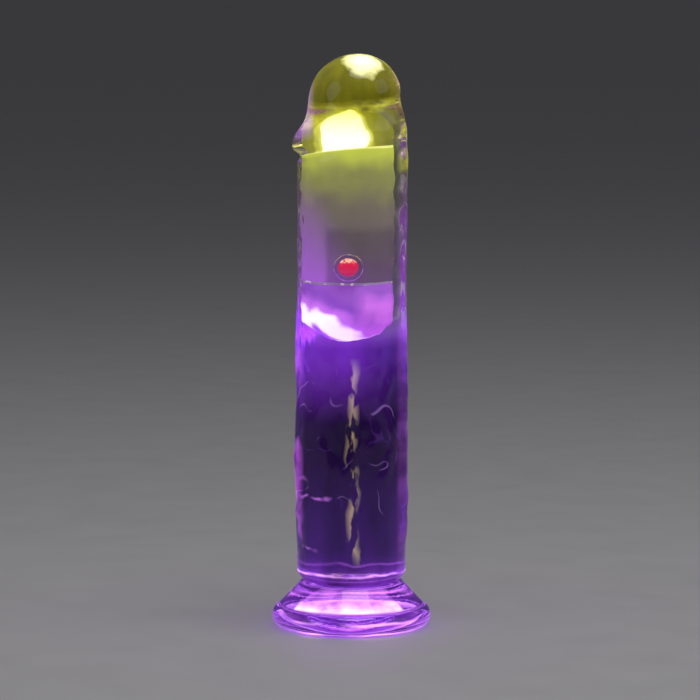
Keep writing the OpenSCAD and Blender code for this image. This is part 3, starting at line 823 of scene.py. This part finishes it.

# Painted light at the two sides, and painted thin bright threads and lines in the folds of the skin
left_edge = product(tree, rise(tree, (-1, 0, 0), 0.0180, 0.0024), patches(tree, 80, 0.54, 0.68, (1, 1, 0.8)),
                    rise(tree, (0, 0, -1), -0.170, 0.08))
light = tint(tree, light, LEFT_PAINTED_GLOW, "ADD", left_edge)
right_edge = product(tree, rise(tree, (1, 0, 0), 0.0165, 0.0016), rise(tree, (0, 0, -1), -0.150, 0.06),
                     rescale(tree, noise_value(tree, 170, 1, (0.2, 0.2, 1)), 0.4, 0.6, 0.45, 1.0))
light = tint(tree, light, RIGHT_PAINTED_GLOW, "ADD", right_edge)
painted_threads = product(tree, near(tree, noise_value(tree, 48, 1), 0.5, 0.005),
                  patches(tree, 70, 0.54, 0.62), in_shaft)
light = tint(tree, light, THREAD_PAINTED_HIGHLIGHT, "ADD", painted_threads)
for fold_height, fold_in in PAINTED_FOLD_LINES:
    fold_glow = product(tree, near(tree, wavy(tree, upright, 110, 0.0016), fold_height, 0.0010),
                   rise(tree, (-1, 0, 0), fold_in, 0.003), facing_front, patches(tree, 210, 0.35, 0.6))
    light = tint(tree, light, FOLD_PAINTED_GLOW, "ADD", fold_glow)
# Painted violet glow at the crown's -X edge, and painted yellow glow on the +X side near the top
crown_edge = product(tree, rise(tree, (-1, 0, 0), 0.0140, 0.0022),
                     rise(tree, (0, 0, 1), COLLAR_HEIGHT, 0.006),
                     rescale(tree, noise_value(tree, 120, 2), 0.35, 0.6, 0.35, 1.0))
light = tint(tree, light, CROWN_PAINTED_GLOW, "ADD", crown_edge)
yellow_edge = product(tree, rise(tree, (1, 0, 0), 0.0165, 0.0016), near(tree, upright, YELLOW_HEIGHT, 0.013),
                      patches(tree, 130, 0.42, 0.6))
light = tint(tree, light, EDGE_PAINTED_YELLOW, "ADD", yellow_edge)

# In the crown: a painted cream highlight under the top, and painted yellow streaks over the slanting collar
reach = add_node(tree, "ShaderNodeVectorMath", operation="DISTANCE")
reach.inputs[1].default_value = PAINTED_HIGHLIGHT_PLACE
tree.links.new(object_point(tree), reach.inputs[0])
cream_highlight = rescale(tree, wavy(tree, reach.outputs["Value"], 160, 0.0016), 0.0076, 0.0020)
light = tint(tree, light, PATCH_PAINTED_HIGHLIGHT, "ADD", cream_highlight)
over_collar = along(tree, (-math.sin(math.atan(COLLAR_SLANT)), 0, math.cos(math.atan(COLLAR_SLANT))))
painted_streaks = product(tree, near(tree, wavy(tree, over_collar, 120, 0.001), COLLAR_HEIGHT + 0.0035, 0.003),
                 patches(tree, 140, 0.4, 0.6, (1, 1, 2)))
light = tint(tree, light, COLLAR_PAINTED_STREAKS, "ADD", painted_streaks)
tree.links.new(light, shader.inputs["Emission Color"])
body_skin = add_piece("body_skin", mesh, body_clear, "body")
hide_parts("clear_body")


# ---- Suction foot ----
# A flared foot of the same clear elastomer, with straight sides, a crease, a rolled rim
# and a shallow hollow under it. It is bonded to the body and stands on a narrow flat ring.
RIM_ROUND = 0.0042
RIM_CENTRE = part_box("suction_foot")[1][0] - RIM_ROUND
RIM_JOIN = 25
NECK_RADIUS = 0.0180
NECK_TOP = body_low.z
DISH_RADIUS = RIM_CENTRE - 0.003
DISH_DEPTH = 0.0035
CREASE = 0.00045
FOOT_PAINTED_TINTS = [(0.3, (0.22, 0.08, 0.52)), (0.7, (0.32, 0.13, 0.64))]
FOOT_LIGHT = [(0.35, (0.015, 0.002, 0.05)), (0.65, (0.055, 0.008, 0.13))]
FLARE_PAINTED_GLOW = (0.58, 0.18, 0.78)
FLARE_PAINTED_LILAC = (1.5, 1.05, 1.35)
ARC_PAINTED_PINK = (1.25, 0.56, 1.15)
# The height of each painted bright arc round the rim, and half its width
PAINTED_RIM_ARCS = ((0.0050, 0.0007), (0.0011, 0.0006))

join_radius = RIM_CENTRE + RIM_ROUND * math.sin(math.radians(RIM_JOIN))
join_height = RIM_ROUND + RIM_ROUND * math.cos(math.radians(RIM_JOIN))
outline = [(radius, NECK_TOP) for radius in span(0, NECK_RADIUS - 0.0004, 0.0015)]
for part in span(0.02, 0.98, 0.06):
    outline.append((NECK_RADIUS + (join_radius - NECK_RADIUS) * part,
                    NECK_TOP + (join_height - NECK_TOP) * part))
outline.append((join_radius - CREASE, join_height - CREASE))
outline += arc_points((RIM_CENTRE, RIM_ROUND), RIM_ROUND, range(RIM_JOIN + 5, 181, 10))
outline += [(radius, 0) for radius in reversed(span(DISH_RADIUS, RIM_CENTRE, 0.001)[:-1])]
outline += [(DISH_RADIUS * part, DISH_DEPTH * (1 - part * part)) for part in reversed(span(0, 0.96, 0.06))]
mesh = turned(outline, AROUND)
for vert in mesh.verts:
    radius = math.hypot(vert.co.x, vert.co.y)
    if radius > 1e-6 and vert.co.z > 0.0005:
        towards = Vector((vert.co.x / radius, vert.co.y / radius, 0))
        wave = noise.noise(towards * 1.8 + Vector((0, 0, vert.co.z * 120)))
        vert.co += towards * 0.00022 * wave * smooth_step(radius, 0.012, NECK_RADIUS)

foot_clear, tree, shader = clear_cast("foot_elastomer")
# Painted light: the foot's violet tint and faint glow stand for the light of its lamps
tree.links.new(ramp(tree, noise_value(tree, 60), FOOT_PAINTED_TINTS), shader.inputs["Base Color"])
upright = along(tree, (0, 0, 1))
facing = lobes(tree, 2, 0.35)
light = ramp(tree, noise_value(tree, 90, 3, (1, 1, 2)), FOOT_LIGHT)

# Painted light on the flare: bright in front and behind and dark at its sides, and brightest low down
on_flare = product(tree, rise(tree, (0, 0, 1), join_height + 0.0006, 0.0006),
                   rise(tree, (0, 0, -1), 0.0006 - NECK_TOP, 0.0012))
spread = add_values(tree, facing, rescale(tree, upright, join_height, NECK_TOP, 0.12, -0.14))
flare_light = product(tree, on_flare, rescale(tree, spread, 0.46, 0.56),
                      rescale(tree, noise_value(tree, 150, 3), 0.3, 0.7, 0.35, 1.0))
light = tint(tree, light, FLARE_PAINTED_GLOW, "ADD", flare_light)
low_light = product(tree, flare_light, rescale(tree, wavy(tree, upright, 130, 0.0012),
                                               join_height + 0.0042, join_height + 0.0008))
light = tint(tree, light, FLARE_PAINTED_LILAC, "ADD", low_light)
for arc_height, arc_reach in PAINTED_RIM_ARCS:
    arc_glow = product(tree, near(tree, wavy(tree, upright, 70, 0.0003), arc_height, arc_reach),
                  patches(tree, 45, 0.38, 0.58), rescale(tree, facing, 0.25, 0.75))
    light = tint(tree, light, ARC_PAINTED_PINK, "ADD", arc_glow)
tree.links.new(light, shader.inputs["Emission Color"])
foot_skin = add_piece("foot_skin", mesh, foot_clear, "body")
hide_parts("suction_foot")
